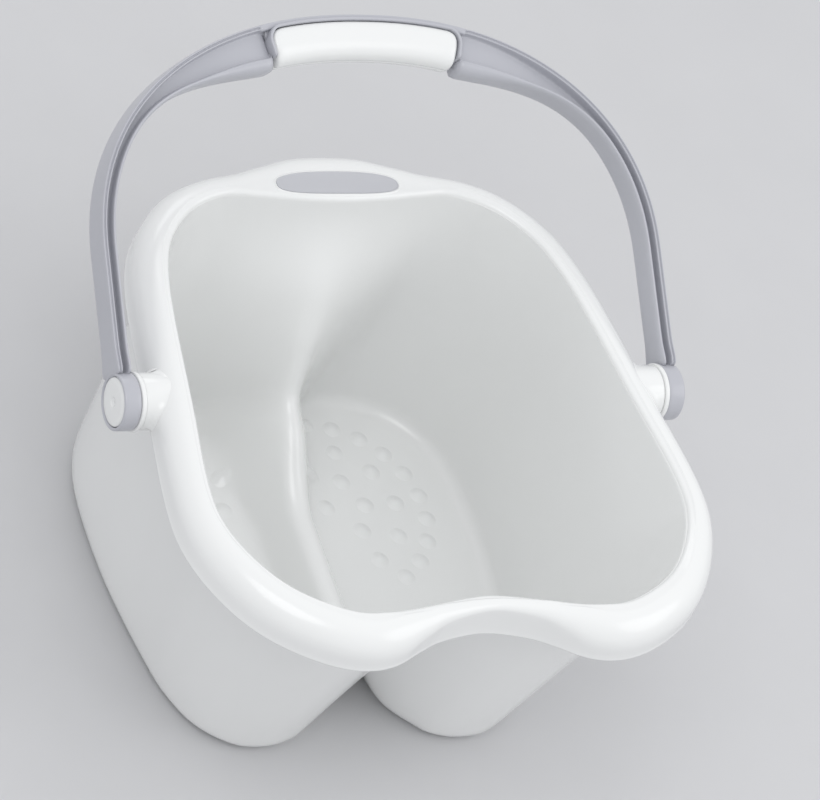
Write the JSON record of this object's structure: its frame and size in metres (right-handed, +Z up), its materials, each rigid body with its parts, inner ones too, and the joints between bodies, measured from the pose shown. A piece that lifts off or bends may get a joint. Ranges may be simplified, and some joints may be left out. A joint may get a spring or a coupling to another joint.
{
  "type": "foot bath basin",
  "caption": "Moulded foot bath with two foot wells parted by a hollow ridge, a rolled lip, domed floor bumps and a swinging bail handle with a hand grip.",
  "frame": {"origin": "on the resting face, under the middle of the box round the whole assembly, 12 mm behind the pivot axis", "axes": "+X right along the pivot axis, +Y towards the back with the nameplate, +Z up"},
  "size_m": [0.378, 0.4095, 0.2892],
  "materials": {
    "basin_plastic": "smooth glossy white moulding",
    "handle_plastic": "smooth satin-gloss light grey moulding",
    "grip_plastic": "smooth glossy white moulding",
    "nameplate": "blank light grey plate",
    "adhesive": "thin adhesive foam",
    "steel": "plain bright steel"
  },
  "bodies": {
    "basin": {"basin": "basin_plastic", "nameplate": "nameplate", "nameplate_pad": "adhesive", "pivot_pin_left": "steel", "pivot_pin_right": "steel", "pivot_washer_left": "steel", "pivot_washer_right": "steel", "pivot_screw_left": "steel", "pivot_screw_right": "steel"},
    "handle": {"handle_bow": "handle_plastic", "grip_front": "grip_plastic", "grip_rear": "grip_plastic", "grip_screws": "steel", "pivot_bush_left": "grip_plastic", "pivot_bush_right": "grip_plastic", "pivot_cap_left": "grip_plastic", "pivot_cap_right": "grip_plastic"}
  },
  "joints": [
    {"name": "handle_swing", "type": "hinge", "parent": "basin", "child": "handle", "pos_m": [0, -0.012, 0.179], "axis": [1, 0, 0], "range_deg": [-25.5, 154.5]}
  ]
}
